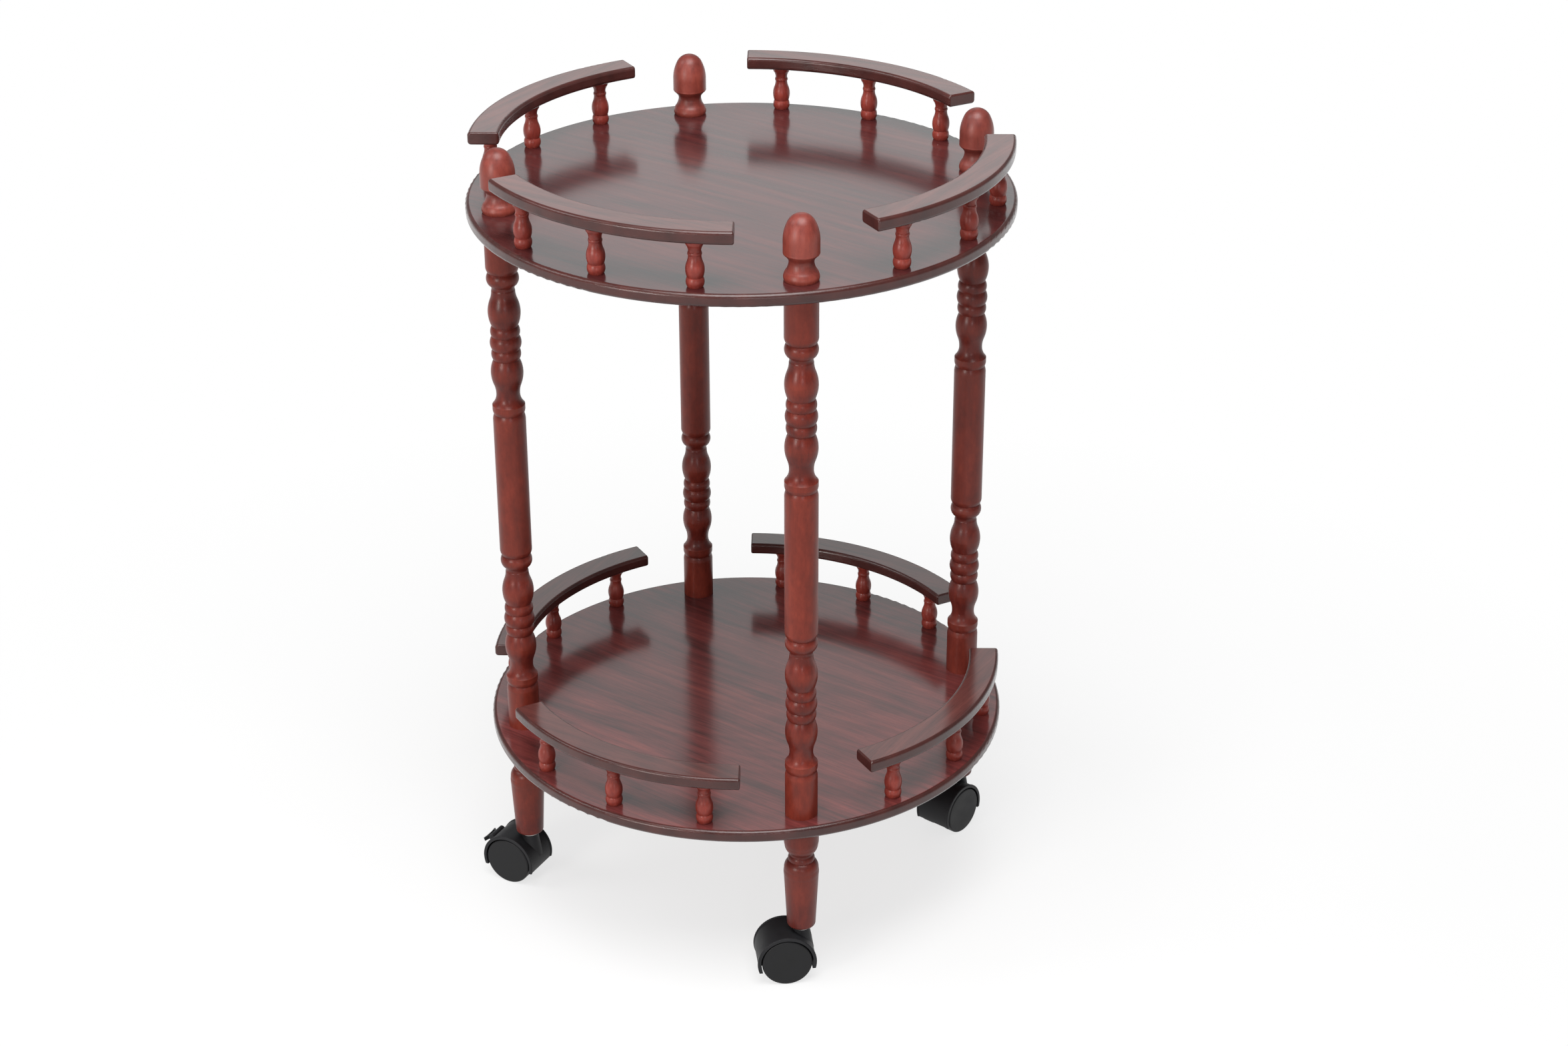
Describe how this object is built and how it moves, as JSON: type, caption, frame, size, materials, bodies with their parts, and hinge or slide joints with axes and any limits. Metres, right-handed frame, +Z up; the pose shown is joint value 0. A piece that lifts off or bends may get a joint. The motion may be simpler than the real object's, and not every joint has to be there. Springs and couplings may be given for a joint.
{
  "type": "serving trolley",
  "caption": "Round two-tier wooden serving trolley with turned posts, curved gallery rails on spindles and swivelling twin-wheel casters.",
  "frame": {"origin": "on the floor under the trolley's axis", "axes": "+Z up, +X towards the right post and -Y towards the front post"},
  "size_m": [0.4346, 0.4323, 0.644],
  "materials": {
    "board_wood": "satin lacquer",
    "turned_wood": "gloss stain",
    "caster_plastic": "fine moulded grain",
    "zinc_steel": "bright zinc"
  },
  "bodies": {
    "trolley": {"top_shelf": "board_wood", "lower_shelf": "board_wood", "upper_rail_front_right": "board_wood", "upper_spindles_front_right": "turned_wood", "upper_rail_rear_right": "board_wood", "upper_spindles_rear_right": "turned_wood", "upper_rail_rear_left": "board_wood", "upper_spindles_rear_left": "turned_wood", "upper_rail_front_left": "board_wood", "upper_spindles_front_left": "turned_wood", "lower_rail_front_right": "board_wood", "lower_spindles_front_right": "turned_wood", "lower_rail_rear_right": "board_wood", "lower_spindles_rear_right": "turned_wood", "lower_rail_rear_left": "board_wood", "lower_spindles_rear_left": "turned_wood", "lower_rail_front_left": "board_wood", "lower_spindles_front_left": "turned_wood", "post_front": "turned_wood", "finial_front": "turned_wood", "leg_front": "turned_wood", "post_right": "turned_wood", "finial_right": "turned_wood", "leg_right": "turned_wood", "post_rear": "turned_wood", "finial_rear": "turned_wood", "leg_rear": "turned_wood", "post_left": "turned_wood", "finial_left": "turned_wood", "leg_left": "turned_wood", "upper_studs": "zinc_steel", "lower_studs": "zinc_steel", "upper_spindle_screws": "zinc_steel", "lower_spindle_screws": "zinc_steel", "caster_sockets": "zinc_steel", "caster_stems": "zinc_steel", "stem_snap_rings": "zinc_steel", "stem_grip_rings": "zinc_steel"},
    "caster_front": {"caster_hood_front": "caster_plastic", "caster_axle_front": "zinc_steel"},
    "wheel_front_a": {"caster_wheel_front_a": "caster_plastic"},
    "wheel_front_b": {"caster_wheel_front_b": "caster_plastic"},
    "caster_right": {"caster_hood_right": "caster_plastic", "caster_axle_right": "zinc_steel"},
    "wheel_right_a": {"caster_wheel_right_a": "caster_plastic"},
    "wheel_right_b": {"caster_wheel_right_b": "caster_plastic"},
    "caster_rear": {"caster_hood_rear": "caster_plastic", "caster_axle_rear": "zinc_steel"},
    "wheel_rear_a": {"caster_wheel_rear_a": "caster_plastic"},
    "wheel_rear_b": {"caster_wheel_rear_b": "caster_plastic"},
    "brake_rear": {"brake_lever_rear": "caster_plastic"},
    "caster_left": {"caster_hood_left": "caster_plastic", "caster_axle_left": "zinc_steel"},
    "wheel_left_a": {"caster_wheel_left_a": "caster_plastic"},
    "wheel_left_b": {"caster_wheel_left_b": "caster_plastic"},
    "brake_left": {"brake_lever_left": "caster_plastic"}
  },
  "joints": [
    {"name": "front_caster_swivel", "type": "hinge", "parent": "trolley", "child": "caster_front", "pos_m": [0, -0.1864, 0.0445], "axis": [0, 0, 1], "continuous": true},
    {"name": "front_wheel_a_spin", "type": "hinge", "parent": "caster_front", "child": "wheel_front_a", "pos_m": [-0.0129, -0.18482, 0.02], "axis": [-0.1219, -0.9925, 0], "continuous": true},
    {"name": "front_wheel_b_spin", "type": "hinge", "parent": "caster_front", "child": "wheel_front_b", "pos_m": [-0.0129, -0.18482, 0.02], "axis": [-0.1219, -0.9925, 0], "continuous": true},
    {"name": "right_caster_swivel", "type": "hinge", "parent": "trolley", "child": "caster_right", "pos_m": [0.1864, 0, 0.0445], "axis": [0, 0, 1], "continuous": true},
    {"name": "right_wheel_a_spin", "type": "hinge", "parent": "caster_right", "child": "wheel_right_a", "pos_m": [0.17588, -0.00764, 0.02], "axis": [0.5878, -0.809, 0], "continuous": true},
    {"name": "right_wheel_b_spin", "type": "hinge", "parent": "caster_right", "child": "wheel_right_b", "pos_m": [0.17588, -0.00764, 0.02], "axis": [0.5878, -0.809, 0], "continuous": true},
    {"name": "rear_caster_swivel", "type": "hinge", "parent": "trolley", "child": "caster_rear", "pos_m": [0, 0.1864, 0.0445], "axis": [0, 0, 1], "continuous": true},
    {"name": "rear_wheel_a_spin", "type": "hinge", "parent": "caster_rear", "child": "wheel_rear_a", "pos_m": [0.00996, 0.19476, 0.02], "axis": [-0.6428, 0.766, 0], "continuous": true},
    {"name": "rear_wheel_b_spin", "type": "hinge", "parent": "caster_rear", "child": "wheel_rear_b", "pos_m": [0.00996, 0.19476, 0.02], "axis": [-0.6428, 0.766, 0], "continuous": true},
    {"name": "rear_brake_lever_press", "type": "hinge", "parent": "caster_rear", "child": "brake_rear", "pos_m": [0.02525, 0.20759, 0.03296], "axis": [-0.6428, 0.766, 0], "range_deg": [0, 18]},
    {"name": "left_caster_swivel", "type": "hinge", "parent": "trolley", "child": "caster_left", "pos_m": [-0.1864, 0, 0.0445], "axis": [0, 0, 1], "continuous": true},
    {"name": "left_wheel_a_spin", "type": "hinge", "parent": "caster_left", "child": "wheel_left_a", "pos_m": [-0.19621, 0.00853, 0.02], "axis": [-0.6561, -0.7547, 0], "continuous": true},
    {"name": "left_wheel_b_spin", "type": "hinge", "parent": "caster_left", "child": "wheel_left_b", "pos_m": [-0.19621, 0.00853, 0.02], "axis": [-0.6561, -0.7547, 0], "continuous": true},
    {"name": "left_brake_lever_press", "type": "hinge", "parent": "caster_left", "child": "brake_left", "pos_m": [-0.21128, 0.02162, 0.03296], "axis": [-0.6561, -0.7547, 0], "range_deg": [0, 18]}
  ]
}
